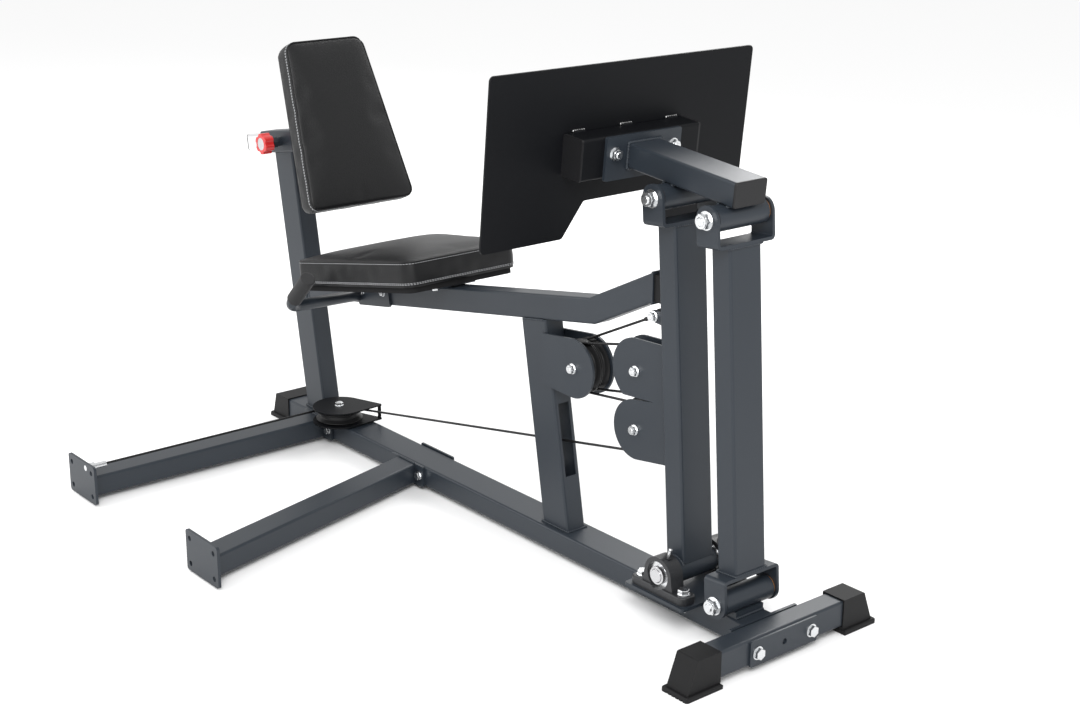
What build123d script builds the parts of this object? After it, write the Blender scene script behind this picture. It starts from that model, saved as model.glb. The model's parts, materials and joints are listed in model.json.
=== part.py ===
from build123d import *
import math
import os

# Leg press station: a side station of a home gym.
# X runs along the base rail from the seat (-X) to the press arms (+X), Y is the station's
# width, with the gym on the -Y side, and Z is up.  The station is drawn from the front face
# of its foot bar (x = 0) on the floor (z = 0), and is moved at the end so that the origin is
# the centre of its footprint.

os.makedirs("parts", exist_ok=True)

# ---- driving sizes, millimetres ------------------------------------------------------------
WALL = 2.5                      # tube wall
CORNER = 5.0                    # outer corner radius of every tube
MAIN_W, MAIN_H = 75.0, 45.0     # main tube section
SMALL_W, SMALL_H = 45.0, 50.0   # foot bar and seat beam section
LINK_W = 60.0                   # connecting tube width

RAIL_TOP = 56.0                 # top face of the base rail
RAIL_END = -1600.0              # rear end of the rail
FOOT_BAR_Z = 14.0               # underside of the foot bar
FOOT_BAR_HALF = 205.0
CAP_OPEN = 153.5                # where the foot caps start on the foot bar
END_PLATE = 6.0                 # plate on the rail's front end
REACH = -SMALL_W - END_PLATE    # front end of the rail

SEAT_TILT = 10.0                # upright, strut and seat beam lean
UPRIGHT_X = -1455.0             # upright's middle where it meets the rail
STRUT_X = -587.0                # strut's middle where it meets the rail
BEAM_TOP_X, BEAM_TOP_Z = -749.0, 500.0   # a point on the seat beam's top face
BEAM_BEND_X = -500.0
BEAM_NOSE_TILT = 26.6
BEAM_NOSE_X = -331.0

# pivots of the parallelogram
ARM_FOOT = (-233.0, 98.5)       # main arm's shaft, x and z
ARM_RUN = (-52.5, 678.0)        # from the arm's lower pivot to its upper one
PIVOT_GAP = (132.0, -13.0)      # from a pivot of the arm to the same pivot of the rear link
TUBE_R = 22.5                   # pivot tubes
BOLT_R = 8.0                    # pivot bolts
RUNNING = 0.05                  # radial clearance of a running fit
OPEN_CLEARANCE = 0.6            # radial clearance where the linkage is opened
CLEVIS_REACH = 49.0             # from a pivot to the outer face of a clevis's base
CLEVIS_HALF = 68.0
CLEVIS_X = 50.0
EAR = 6.0

PLATE_HALF = 308.0              # footplate half width
PLATE_TOP, PLATE_LOW = 198.0, -112.0     # footplate's ends above the arm's upper pivot
NOTCH_TOP, NOTCH_HALF_TOP, NOTCH_HALF_LOW = -47.0, 82.0, 127.0
PLATE_BACK = -158.0             # footplate's back face, along the top beam

PULLEY_R, PULLEY_W, GROOVE_R = 52.5, 20.0, 46.0   # outer radius, width, radius to the cable
CABLE_R = 2.5
FRONT_BLOCK = (-535.0, 398.0)   # bolt of the two front pulleys
FRONT_SPREAD = 11.0             # the front pulleys sit this far each side of the middle
ARM_UPPER, ARM_LOWER = (-374.0, 433.0), (-373.0, 320.0)
ANCHOR = (-336.0, 545.0)        # cable's eye on the main arm
EYE_REACH = 34.0                # ferrule that joins the eye to the cable
REAR_BOLT = (-1352.0, -25.0, 76.5)       # centre of the horizontal rear pulley
SIDE_TUBE_X = -1418.0           # rear connecting tube
BRACE_X, BRACE_TURN = -1062.0, 15.0      # front connecting tube and its angle
SIDE_END = -620.0               # far end of both connecting tubes

SEAT_REAR, SEAT_FRONT = -1240.0, -902.0
SEAT_REAR_HALF, SEAT_FRONT_HALF = 187.0, 136.0
SEAT_LIFT, BOARD, SEAT_FOAM = 6.0, 12.0, 56.0
PAD_LOW = (-1264.0, 580.0)      # lower edge of the back pad's front face
PAD_RUN = (-143.0, 336.0)       # from there to its upper edge
PAD_LOW_HALF, PAD_TOP_HALF = 132.0, 96.0
PAD_FOAM = 42.0
SLEEVE_X = -1565.0              # middle of the slider's sleeve

nodes = {}


def keep(name, *shapes):
    """Store the shapes of one node."""
    nodes.setdefault(name, []).extend(shapes)


# ---- small builders ------------------------------------------------------------------------
def block(x0, x1, y0, y1, z0, z1):
    return Pos((x0 + x1) / 2, (y0 + y1) / 2, (z0 + z1) / 2) * Box(x1 - x0, y1 - y0, z1 - z0)


def rod_y(radius, y0, y1, x=0.0, z=0.0):
    return Pos(x, (y0 + y1) / 2, z) * Rot(90, 0, 0) * Cylinder(radius, y1 - y0)


def rod_x(radius, x0, x1, y=0.0, z=0.0):
    return Pos((x0 + x1) / 2, y, z) * Rot(0, 90, 0) * Cylinder(radius, x1 - x0)


def rod_z(radius, z0, z1, x=0.0, y=0.0):
    return Pos(x, y, (z0 + z1) / 2) * Cylinder(radius, z1 - z0)


def tube(size_x, size_y, z0, z1):
    """Rectangular tube along Z."""
    outer = RectangleRounded(size_x, size_y, CORNER)
    inner = RectangleRounded(size_x - 2 * WALL, size_y - 2 * WALL, CORNER - WALL)
    return Pos(0, 0, z0) * extrude(outer - inner, z1 - z0)


def tube_x(width, height, x0, x1, y, z_mid):
    """Rectangular tube along X."""
    return Pos(x0, y, z_mid) * Rot(0, 90, 0) * tube(height, width, 0, x1 - x0)


def tube_y(width, height, y0, y1, x, z_mid):
    """Rectangular tube along Y."""
    return Pos(x, y0, z_mid) * Rot(-90, 0, 0) * tube(width, height, 0, y1 - y0)


def slab_y(sketch_points, y0, y1, radius=0.0):
    """Plate of an X-Z outline between two Y values."""
    face = make_face(Plane.XZ * Polyline(*sketch_points, close=True))
    if radius:
        face = fillet(face.vertices(), radius)
    return Pos(0, y1, 0) * extrude(face, y1 - y0, dir=(0, -1, 0))


def hull_y(circles, y0, y1):
    """Plate between two Y values round circles (x, z, r)."""
    face = make_hull((Sketch() + [Pos(x, z) * Circle(r) for x, z, r in circles]).edges())
    return Pos(0, y1, 0) * extrude(Plane.XZ * face, y1 - y0, dir=(0, -1, 0))


def hexagon(across, z0, z1):
    prism = Pos(0, 0, z0) * extrude(RegularPolygon(across / math.sqrt(3), 6), z1 - z0)
    return prism


def bolt(radius, grip, tail=None, locknut=True):
    """Bolt along Z with its head below z = 0, its washers and its nut beyond the grip."""
    head, washer = 1.3 * radius, 0.3 * radius
    across, rim = 3.1 * radius, 2.05 * radius
    nut = 1.6 * radius if locknut else 1.4 * radius
    end = grip + washer + nut + 0.3 * radius if tail is None else tail
    crown = hexagon(across, -washer - head, -washer)
    crown = chamfer(crown.faces().sort_by(Axis.Z)[0].edges(), 0.12 * radius)
    shank = rod_z(radius, -washer, end)
    shank = chamfer(shank.faces().sort_by(Axis.Z)[-1].edges(), 0.2 * radius)
    pieces = [crown + shank, rod_z(rim, -washer, 0) - rod_z(radius, -washer, 0)]
    if tail is None:
        hole = rod_z(radius, grip, end)
        pieces.append(rod_z(rim, grip, grip + washer) - hole)
        top = grip + washer + nut
        body = hexagon(across, grip + washer, top - 0.35 * radius if locknut else top)
        if locknut:
            body += rod_z(across / 2 - 0.3, top - 0.35 * radius, top)
        pieces.append(body - hole)
    return pieces


def place(where, shapes):
    return [where * shape for shape in shapes]


def along_y(x, y, z, toward=1):
    """Frame whose Z axis is +Y or -Y."""
    return Pos(x, y, z) * Rot(-90 * toward, 0, 0)


# ---- frames of the leaning members ---------------------------------------------------------
ARM_LEAN = math.degrees(math.atan2(ARM_RUN[0], ARM_RUN[1]))
ARM_LENGTH = math.hypot(*ARM_RUN)
BEAM_ANGLE = -math.degrees(math.atan2(PIVOT_GAP[1], PIVOT_GAP[0]))
PIVOT_PITCH = math.hypot(*PIVOT_GAP)
LINK_FOOT = (ARM_FOOT[0] + PIVOT_GAP[0], ARM_FOOT[1] + PIVOT_GAP[1])
ARM_HEAD = (ARM_FOOT[0] + ARM_RUN[0], ARM_FOOT[1] + ARM_RUN[1])

arm_frame = Pos(ARM_FOOT[0], 0, ARM_FOOT[1]) * Rot(0, ARM_LEAN, 0)
link_frame = Pos(LINK_FOOT[0], 0, LINK_FOOT[1]) * Rot(0, ARM_LEAN, 0)
arm_head = arm_frame * Pos(0, 0, ARM_LENGTH)
link_head = link_frame * Pos(0, 0, ARM_LENGTH)
top_frame = Pos(ARM_HEAD[0], 0, ARM_HEAD[1]) * Rot(0, BEAM_ANGLE, 0)


def on_arm(x, z):
    """A point given in X and Z, in the main arm's own frame."""
    lean = math.radians(ARM_LEAN)
    dx, dz = x - ARM_FOOT[0], z - ARM_FOOT[1]
    return dx * math.cos(lean) - dz * math.sin(lean), dx * math.sin(lean) + dz * math.cos(lean)


def beam_top(x):
    return BEAM_TOP_Z + math.tan(math.radians(SEAT_TILT)) * (x - BEAM_TOP_X)


def seat_frame(x, rise=0.0):
    """Frame on the seat beam's top face at x, with its X axis along the beam."""
    return Pos(x, 0, beam_top(x)) * Rot(0, -SEAT_TILT, 0) * Pos(0, 0, rise)


# ---- foot caps -----------------------------------------------------------------------------
def foot_cap(width, tube_low, tube_high, reach, heel):
    """Cap over a tube that comes in along +Y from the cap's mouth at y = 0."""
    skin, flange = 3.0, 9.0
    half = width / 2 + skin
    side = Plane.YZ * Polyline((0, flange), (0, tube_high + skin), (reach + skin, tube_high + skin),
                               (reach + heel, flange), close=True)
    body = Pos(-half, 0, 0) * extrude(make_face(side), 2 * half, dir=(1, 0, 0))
    body = fillet(body.edges().filter_by(Axis.X).sort_by(Axis.Z)[-1], 4)
    spread = heel + 8
    base = block(-half - 6, half + 6, 0, reach + spread, 0, flange)
    base = fillet(base.edges().filter_by(Axis.Z).sort_by(Axis.Y)[-2:], 5)
    base = chamfer(base.faces().sort_by(Axis.Z)[-1].edges(), 2)
    cap = body + base
    cap -= block(-width / 2, width / 2, 0, reach, tube_low, tube_high)
    for step in range(int(2 * half // 9)):
        x = -half + 4 + 9 * step
        cap -= block(x, x + 3, reach + spread - 2, reach + spread + 1, 0, 4)
    return cap


def build_base():
    rail_mid = RAIL_TOP - MAIN_H / 2
    rail = tube_x(MAIN_W, MAIN_H, RAIL_END, REACH, 0, rail_mid)
    for x in flange_bolts(SIDE_TUBE_X) + flange_bolts(BRACE_X):
        rail -= rod_y(5.5, -MAIN_W, MAIN_W, x, rail_mid)
    keep("base_rail", rail)

    bar = tube_y(SMALL_W, SMALL_H, -FOOT_BAR_HALF, FOOT_BAR_HALF,
                 -SMALL_W / 2, FOOT_BAR_Z + SMALL_H / 2)
    bolt_z = FOOT_BAR_Z + 23
    end_plate = block(REACH, -SMALL_W, -82, 82, FOOT_BAR_Z, FOOT_BAR_Z + SMALL_H)
    front_plate = block(0, 4, -84, 84, FOOT_BAR_Z - 1, FOOT_BAR_Z + SMALL_H - 3)
    front_plate = fillet(front_plate.edges().filter_by(Axis.X), 4)
    front_plate -= rod_x(5.5, -1, 5, 0, bolt_z)
    for y in (-67, 67):
        hole = rod_x(6.5, REACH - 1, 5, y, bolt_z)
        bar, end_plate, front_plate = bar - hole, end_plate - hole, front_plate - hole
        keep("foot_bar_bolts",
             *place(Pos(4, y, bolt_z) * Rot(0, -90, 0), bolt(6, 4 - REACH)))
    keep("front_foot_bar", bar)
    keep("frame_plates", end_plate)
    keep("frame_plates", front_plate)

    high = FOOT_BAR_Z + SMALL_H
    cap = foot_cap(SMALL_W, FOOT_BAR_Z, high, FOOT_BAR_HALF - CAP_OPEN, 25)
    keep("foot_caps", Pos(-SMALL_W / 2, -CAP_OPEN, 0) * Rot(0, 0, 180) * cap)
    keep("foot_caps", Pos(-SMALL_W / 2, CAP_OPEN, 0) * cap)
    rear = foot_cap(MAIN_W, RAIL_TOP - MAIN_H, RAIL_TOP, 50, 17)
    keep("foot_caps", Pos(RAIL_END + 50, 0, 0) * Rot(0, 0, 90) * rear)


def flange_bolts(x):
    """Where the bolts of a connecting tube's flange go through the rail."""
    return [x - 45, x + 45]


def build_side_tubes():
    z_low, z_mid = RAIL_TOP - MAIN_H, RAIL_TOP - MAIN_H / 2
    side = -MAIN_W / 2
    gap = side - END_PLATE
    straight = tube_y(LINK_W, MAIN_H, SIDE_END, gap, SIDE_TUBE_X, z_mid)
    keep("connecting_tubes", straight)
    length = (gap - SIDE_END) / math.cos(math.radians(BRACE_TURN))
    brace = Pos(BRACE_X, gap, z_mid) * Rot(0, 0, BRACE_TURN) * tube_y(
        LINK_W, MAIN_H, -length - 40, 40, 0, 0)
    keep("connecting_tubes", brace & block(-1400, -600, SIDE_END, gap, 0, 100))
    brace_end = BRACE_X + math.tan(math.radians(BRACE_TURN)) * (gap - SIDE_END)
    for x, far_x, label in ((SIDE_TUBE_X, SIDE_TUBE_X, "rear"), (BRACE_X, brace_end, "front")):
        flange = block(x - 58, x + 58, gap, side, z_low - 2, RAIL_TOP)
        flange = fillet(flange.edges().filter_by(Axis.Y), 4)
        backing = block(x - 58, x + 58, -side, -side + 4, z_low, RAIL_TOP + 3)
        backing = fillet(backing.edges().filter_by(Axis.Y), 3)
        for bolt_x in flange_bolts(x):
            hole = rod_y(5.5, gap - 1, -side + 5, bolt_x, z_mid)
            flange, backing = flange - hole, backing - hole
            keep("frame_bolts", *place(along_y(bolt_x, gap, z_mid), bolt(5, -side + 4 - gap)))
        keep("connecting_tubes", flange)
        keep("connecting_tubes", backing)
        gym_plate = block(far_x - 60, far_x + 60, SIDE_END - END_PLATE, SIDE_END, z_low - 7, 88)
        gym_plate = fillet(gym_plate.edges().filter_by(Axis.Y), 6)
        for dx in (-45, 45):
            for z in (20, 72):
                gym_plate -= rod_y(5.5, SIDE_END - 20, SIDE_END + 5, far_x + dx, z)
        gym_plate -= rod_y(6, SIDE_END - 20, SIDE_END + 5, REAR_BOLT[0] - GROOVE_R, REAR_BOLT[2])
        keep("connecting_tubes", gym_plate)


# ---- press arms ----------------------------------------------------------------------------
def clevis():
    """U bracket round a pivot at the origin, with its base below it."""
    deep, high = -CLEVIS_REACH, CLEVIS_X / 2
    outer = block(-high, high, -CLEVIS_HALF, CLEVIS_HALF, deep, high)
    outer = fillet(outer.edges().filter_by(Axis.X).sort_by(Axis.Z)[:2], 9)
    inner = block(-high, high, EAR - CLEVIS_HALF, CLEVIS_HALF - EAR, deep + EAR, high + 1)
    inner = fillet(inner.edges().filter_by(Axis.X).sort_by(Axis.Z)[:2], 4)
    round_end = block(-high, high, -CLEVIS_HALF, CLEVIS_HALF, deep, 0)
    round_end += rod_y(high, -CLEVIS_HALF, CLEVIS_HALF)
    return ((outer - inner) & round_end) - rod_y(BOLT_R, -80, 80)


def pivot_bolt():
    """Bolt through a clevis, with its nut on the -Y side."""
    return place(along_y(0, CLEVIS_HALF, 0, -1), bolt(BOLT_R, 2 * CLEVIS_HALF))


def pivot_tube(bore):
    """Tube between a clevis's ears and its two flanged bushings."""
    half = CLEVIS_HALF - EAR - 3.5
    shell = rod_y(TUBE_R, -half, half) - rod_y(14, -half, half)
    bushings = []
    for side in (-1, 1):
        low, high = sorted((side * half, side * (half - 25)))
        rim_low, rim_high = sorted((side * half, side * (half + 3)))
        sleeve = rod_y(14, low, high) + rod_y(20.5, rim_low, rim_high)
        bushings.append(sleeve - rod_y(bore, -half - 5, half + 5))
    return shell, bushings


def pillow_block():
    """Housing of a flanged-base bearing unit, its shaft axis along Y at the origin."""
    low = -36.5
    profile = Plane.XZ * (make_hull((Sketch() + [Circle(34.5), Pos(0, low + 7.5)
                                                 * Rectangle(76, 15)]).edges()))
    body = Pos(0, 15, 0) * extrude(profile, 30, dir=(0, -1, 0))
    body &= block(-60, 60, -20, 20, low, 40)
    base = block(-70, 70, -19, 19, low, low + 15)
    base = fillet(base.edges().filter_by(Axis.Z), 14)
    base = fillet(base.faces().sort_by(Axis.Z)[-1].edges(), 3)
    body += base
    body += Pos(10, 0, 30) * Rot(0, 18, 0) * Cylinder(6, 12)
    body -= rod_y(26, -25, 25)
    for x in (-52.5, 52.5):
        body -= rod_z(6.75, low - 1, low + 30, x)
    return body


def bearing_race():
    return rod_y(26, -8.5, 8.5) - rod_y(17 + RUNNING, -9, 9)


def grease_nipple():
    stem = Pos(13.2, 0, 42) * Rot(0, 18, 0) * (Cylinder(3, 14) + Pos(0, 0, 9) * Sphere(3.4))
    return stem - Pos(10, 0, 30) * Rot(0, 18, 0) * Cylinder(6, 12)


def inner_ring(side):
    """Inner ring and its set-screw collar, which turn with the shaft."""
    low, high = sorted((side * -16, side * 18))
    ring = rod_y(17, low, high) - rod_y(12.5, low - 1, high + 1)
    return chamfer(ring.edges().filter_by(GeomType.CIRCLE), 0.8)


def build_bearings():
    base = ARM_FOOT[1] - 36.5
    plate = block(ARM_FOOT[0] - 76, ARM_FOOT[0] + 76, -91, 91, RAIL_TOP, base)
    plate = fillet(plate.edges().filter_by(Axis.Z), 5)
    for side, label in ((-1, "left"), (1, "right")):
        spot = Pos(ARM_FOOT[0], side * 66, ARM_FOOT[1])
        keep("pillow_blocks", spot * pillow_block())
        keep("bearing_hardware", spot * bearing_race())
        keep("bearing_hardware", spot * grease_nipple())
        keep("arm_shaft", spot * inner_ring(side))
        for x in (-52.5, 52.5):
            where = Pos(ARM_FOOT[0] + x, side * 66, base + 15) * Rot(180, 0, 0)
            keep("bearing_hardware", *place(where, bolt(6, 15 + base - RAIL_TOP)))
            plate -= rod_z(6.75, RAIL_TOP - 1, base + 1, ARM_FOOT[0] + x, side * 66)
    keep("frame_plates", plate)
    keep("arm_shaft", chamfer(rod_y(12.5, -86, 86, *ARM_FOOT).edges(), 1))
    keep("arm_shaft_tube", rod_y(25, -45, 45, *ARM_FOOT) - rod_y(12.5, -46, 46, *ARM_FOOT))


def build_arms():
    head = ARM_LENGTH - CLEVIS_REACH
    arm = arm_frame * tube(MAIN_H, MAIN_W, 14, head) - rod_y(25, -50, 50, *ARM_FOOT)
    keep("press_arm_tube", arm)
    keep("press_arm_clevis", arm_head * clevis())
    keep("arm_bolts", *place(arm_head, pivot_bolt()))

    keep("rear_link_tube", link_frame * tube(MAIN_H, MAIN_W, CLEVIS_REACH, head))
    keep("link_clevises", link_frame * Rot(0, 180, 0) * clevis())
    keep("link_clevises", link_head * clevis())
    keep("link_bolts", *place(link_frame, pivot_bolt()))
    keep("link_bolts", *place(link_head, pivot_bolt()))

    shell, bushings = pivot_tube(BOLT_R + RUNNING)
    keep("rail_pivot_tube", Pos(LINK_FOOT[0], 0, LINK_FOOT[1]) * shell)
    keep("rail_pivot_bushings", *place(Pos(LINK_FOOT[0], 0, LINK_FOOT[1]), bushings))
    saddle = block(LINK_FOOT[0] - 20, LINK_FOOT[0] + 20, -34, 34, RAIL_TOP, LINK_FOOT[1])
    saddle &= block(-400, 0, -60, 60, RAIL_TOP, RAIL_TOP + 12)
    keep("rail_pivot_tube", saddle - rod_y(TUBE_R, -60, 60, *LINK_FOOT))


def build_top():
    shell, bushings = pivot_tube(BOLT_R + RUNNING)
    keep("beam_pivot_tubes", top_frame * shell)
    keep("beam_bushings", *place(top_frame, bushings))
    shell, bushings = pivot_tube(BOLT_R + OPEN_CLEARANCE)
    rear_pivot = top_frame * Pos(PIVOT_PITCH, 0, 0)
    keep("beam_pivot_tubes", rear_pivot * shell)
    keep("beam_bushings", *place(rear_pivot, bushings))

    low, mount = TUBE_R, PLATE_BACK + SMALL_H
    end = 157.0
    keep("top_beam", top_frame * tube_x(MAIN_W, MAIN_H, mount + END_PLATE, end, 0,
                                        low + MAIN_H / 2))
    lid = extrude(RectangleRounded(MAIN_H, MAIN_W, CORNER), 4)
    lid = chamfer(lid.faces().sort_by(Axis.Z)[-1].edges(), 1.5)
    plug = RectangleRounded(MAIN_H - 2 * WALL, MAIN_W - 2 * WALL, CORNER - WALL)
    lid += Pos(0, 0, -15) * extrude(plug, 15)
    keep("carriage_end_caps", top_frame * Pos(end, 0, low + MAIN_H / 2) * Rot(0, 90, 0) * lid)

    channel_top, channel = 82.5, 75.0
    middle = channel_top - channel / 2
    face = block(mount, mount + END_PLATE, -88, 88, channel_top - 79, channel_top)
    face = fillet(face.edges().filter_by(Axis.X), 4)
    box_tube = tube_y(SMALL_H, channel, -136, 136, PLATE_BACK + SMALL_H / 2, middle)
    for y in (-69, 69):
        hole = rod_x(6.5, mount - 10, mount + 20, y, middle + 7)
        face, box_tube = face - hole, box_tube - hole
        where = top_frame * Pos(mount - WALL, y, middle + 7) * Rot(0, 90, 0)
        keep("footplate_mount_bolts", *place(where, bolt(6, END_PLATE + WALL)))
    keep("footplate_mount_plate", top_frame * face)
    keep("footplate_channel", top_frame * box_tube)
    for side in (-1, 1):
        y0, y1 = sorted((side * 136, side * 140))
        lid = block(PLATE_BACK, mount, y0, y1, channel_top - channel, channel_top)
        keep("carriage_end_caps", top_frame * fillet(lid.edges().filter_by(Axis.Y), 4))

    steel, mat = 4.0, 4.0
    keep("footplate", top_frame * footplate_sheet(0, steel, 0.0))
    keep("footplate_tread_mat", top_frame * footplate_sheet(steel, steel + mat, 4.0))
    for y in (-108, 2, 112):
        bead = Pos(PLATE_BACK + 1.5, y, channel_top) * Rot(90, 0, 0) * Cylinder(4, 26)
        bead -= block(-300, PLATE_BACK, y - 20, y + 20, 0, 120)
        bead -= block(PLATE_BACK - 1, 0, y - 20, y + 20, 0, channel_top)
        keep("footplate", top_frame * bead)


def footplate_sheet(near, far, inset):
    """One layer of the footplate, between two depths in front of its back face."""
    edge = PLATE_HALF - inset
    half_top, half_low = NOTCH_HALF_TOP + inset, NOTCH_HALF_LOW + inset
    corners = [(-edge, PLATE_TOP - inset), (edge, PLATE_TOP - inset), (edge, PLATE_LOW + inset),
               (half_low, PLATE_LOW + inset), (half_top, NOTCH_TOP + inset),
               (-half_top, NOTCH_TOP + inset), (-half_low, PLATE_LOW + inset),
               (-edge, PLATE_LOW + inset)]
    face = make_face(Plane.YZ * Polyline(*corners, close=True))
    face = fillet(face.vertices(), 9)
    return Pos(PLATE_BACK - far, 0, 0) * extrude(face, far - near, dir=(1, 0, 0))


# ---- seat frame ----------------------------------------------------------------------------
def build_seat_frame():
    upright_frame = Pos(UPRIGHT_X, 0, RAIL_TOP) * Rot(0, -SEAT_TILT, 0)
    strut_frame = Pos(STRUT_X, 0, RAIL_TOP) * Rot(0, -SEAT_TILT, 0)
    above_rail = block(-2000, 0, -100, 100, RAIL_TOP, 2000)

    sleeve_frame = seat_line(SLEEVE_X)
    low_cut = sleeve_frame * block(-300, 300, -100, 100, -25, 200)
    upright = (upright_frame * tube(MAIN_W, MAIN_H, -40, 700) & above_rail) - low_cut
    keep("rear_upright", upright)

    drop = SMALL_H / math.cos(math.radians(SEAT_TILT))
    nose_drop = SMALL_H / math.cos(math.radians(BEAM_NOSE_TILT))
    climb, nose = (math.tan(math.radians(a)) for a in (SEAT_TILT, BEAM_NOSE_TILT))
    back_x = UPRIGHT_X - math.tan(math.radians(SEAT_TILT)) * (beam_top(-1470) - 25 - RAIL_TOP)
    start = back_x + MAIN_W / 2 / math.cos(math.radians(SEAT_TILT))
    bend_z = beam_top(BEAM_BEND_X)
    nose_z = bend_z + nose * (BEAM_NOSE_X - BEAM_BEND_X)
    low_bend = BEAM_BEND_X + (nose_drop - drop) / (climb - nose) * -1

    def beam_profile(skin):
        top = skin / math.cos(math.radians(SEAT_TILT))
        nose_top = skin / math.cos(math.radians(BEAM_NOSE_TILT))
        upper = BEAM_BEND_X + (nose_top - top) / (nose - climb)
        lower = low_bend - (nose_top - top) / (nose - climb)
        return [(start - 60, beam_top(start - 60) - top), (upper, beam_top(upper) - top),
                (BEAM_NOSE_X, nose_z - nose_top),
                (BEAM_NOSE_X, nose_z - nose_drop + nose_top),
                (lower, beam_top(lower) - drop + top),
                (start - 60, beam_top(start - 60) - drop + top)]

    half = SMALL_W / 2
    beam = slab_y(beam_profile(0), -half, half)
    beam = fillet(beam.edges().filter_by(Axis.Y, reverse=True).filter_by(
        lambda e: abs(e.center().X - BEAM_NOSE_X) > 1 and e.length > 60), CORNER)
    beam -= slab_y(beam_profile(WALL), WALL - half, half - WALL)
    beam -= upright_frame * block(-MAIN_W / 2, MAIN_W / 2, -60, 60, -50, 800)
    beam -= upright_frame * block(-400, 0, -60, 60, -50, 800)
    keep("seat_beam", beam)
    bumper = block(BEAM_NOSE_X, BEAM_NOSE_X + 4, -half, half, nose_z - nose_drop - 2, nose_z + 2)
    keep("seat_beam", bumper)
    arm_back = ARM_FOOT[0] + ARM_RUN[0] / ARM_RUN[1] * (nose_z - 28 - ARM_FOOT[1])
    arm_back -= MAIN_H / 2 / math.cos(math.radians(ARM_LEAN))
    pad = block(BEAM_NOSE_X + 4, arm_back + 20, -19, 19, nose_z - nose_drop + 3, nose_z - 3)
    pad -= arm_frame * block(-MAIN_H / 2 - 0.05, 60, -60, 60, 0, ARM_LENGTH)
    keep("stop_bumper", pad)

    strut = strut_frame * tube(MAIN_W, MAIN_H, -40, 600) & above_rail
    strut -= slab_y([(-1500, beam_top(-1500) - drop), (low_bend, beam_top(low_bend) - drop),
                     (BEAM_NOSE_X, nose_z - nose_drop), (BEAM_NOSE_X, 900), (-1500, 900)],
                    -60, 60)
    slot_z = 232 - RAIL_TOP
    slot = strut_frame * Pos(0, 0, slot_z) * Box(MAIN_W + 20, 26, 146)
    keep("front_strut", strut - slot)


def seat_line(x):
    """Frame on the slider's axis at x."""
    z = 670.0 + math.tan(math.radians(SEAT_TILT)) * (x - SLEEVE_X)
    return Pos(x, 0, z) * Rot(0, -SEAT_TILT, 0)


def build_slider():
    sleeve_frame = seat_line(SLEEVE_X)
    sleeve = tube_x(50, 50, -84, 84, 0, 0)
    sleeve -= rod_y(6, -40, 0)
    keep("slider_sleeve", sleeve_frame * sleeve)
    ring = RectangleRounded(45, 45, CORNER - WALL) - Rectangle(38.8, 38.8)
    liner = Pos(-84, 0, 0) * Rot(0, 90, 0) * extrude(ring, 168)
    keep("sleeve_liner", sleeve_frame * (liner - rod_y(6, -40, 0)))
    reach = slider_reach()
    slider = tube_x(38, 38, -156, reach, 0, 0)
    for step in range(9):
        slider -= rod_y(5, -30, -10, -100 + 25 * step, 0)
    keep("slider_tube", sleeve_frame * slider)
    plug = RectangleRounded(38, 38, CORNER)
    plug = Pos(-159, 0, 0) * Rot(0, 90, 0) * extrude(plug, 3)
    core = RectangleRounded(33, 33, CORNER - WALL)
    plug += Pos(-156, 0, 0) * Rot(0, 90, 0) * extrude(core, 14)
    keep("slider_end_plug", sleeve_frame * plug)

    housing = rod_y(10, -48, -25) + Pos(0, -36.5, 0) * Rot(90, 0, 0) * extrude(
        RegularPolygon(13, 6), 11.5, both=False)
    keep("slider_sleeve", sleeve_frame * (housing - rod_y(4 + RUNNING, -60, 0)))
    keep("lock_pin", sleeve_frame * chamfer(rod_y(4, -70, -19.6).edges(), 0.8))
    lobes = Circle(23.5)
    for lobe in range(6):
        lobes -= Rot(0, 0, 60 * lobe) * Pos(29, 0) * Circle(9)
    lobes = fillet(lobes.vertices(), 2.5)
    knob = Pos(0, -54, 0) * Rot(90, 0, 0) * extrude(lobes, 22)
    knob = fillet(knob.faces().sort_by(Axis.Y)[0].edges(), 2)
    knob += rod_y(12, -54, -49)
    knob -= rod_y(4, -70, -40)
    keep("lock_knob", sleeve_frame * (knob - rod_y(14, -80, -74.5)))
    keep("lock_pin", sleeve_frame * rod_y(14, -75.5, -74.5))


def pad_lean():
    return math.degrees(math.atan2(PAD_RUN[0], PAD_RUN[1]))


def pad_frame():
    """Frame at the middle of the back pad's lower front edge, Z up the pad, X out of it."""
    return Pos(PAD_LOW[0], 0, PAD_LOW[1]) * Rot(0, pad_lean(), 0)


def slider_reach():
    """How far the slider runs from the sleeve's middle to the back pad's bracket."""
    tilt, lean = math.radians(SEAT_TILT), math.radians(pad_lean())
    back = -(PAD_FOAM + BOARD + 8)
    point = (PAD_LOW[0] + back * math.cos(lean), PAD_LOW[1] - back * math.sin(lean))
    normal = (math.cos(lean), -math.sin(lean))
    start = (SLEEVE_X, 670.0)
    gap = (point[0] - start[0]) * normal[0] + (point[1] - start[1]) * normal[1]
    return gap / (math.cos(tilt) * normal[0] + math.sin(tilt) * normal[1]) - 13


def trapezoid(low, low_half, high, high_half, radius):
    face = make_face(Polyline((low, -low_half), (high, -high_half), (high, high_half),
                              (low, low_half), close=True))
    return fillet(face.vertices(), radius)


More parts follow.
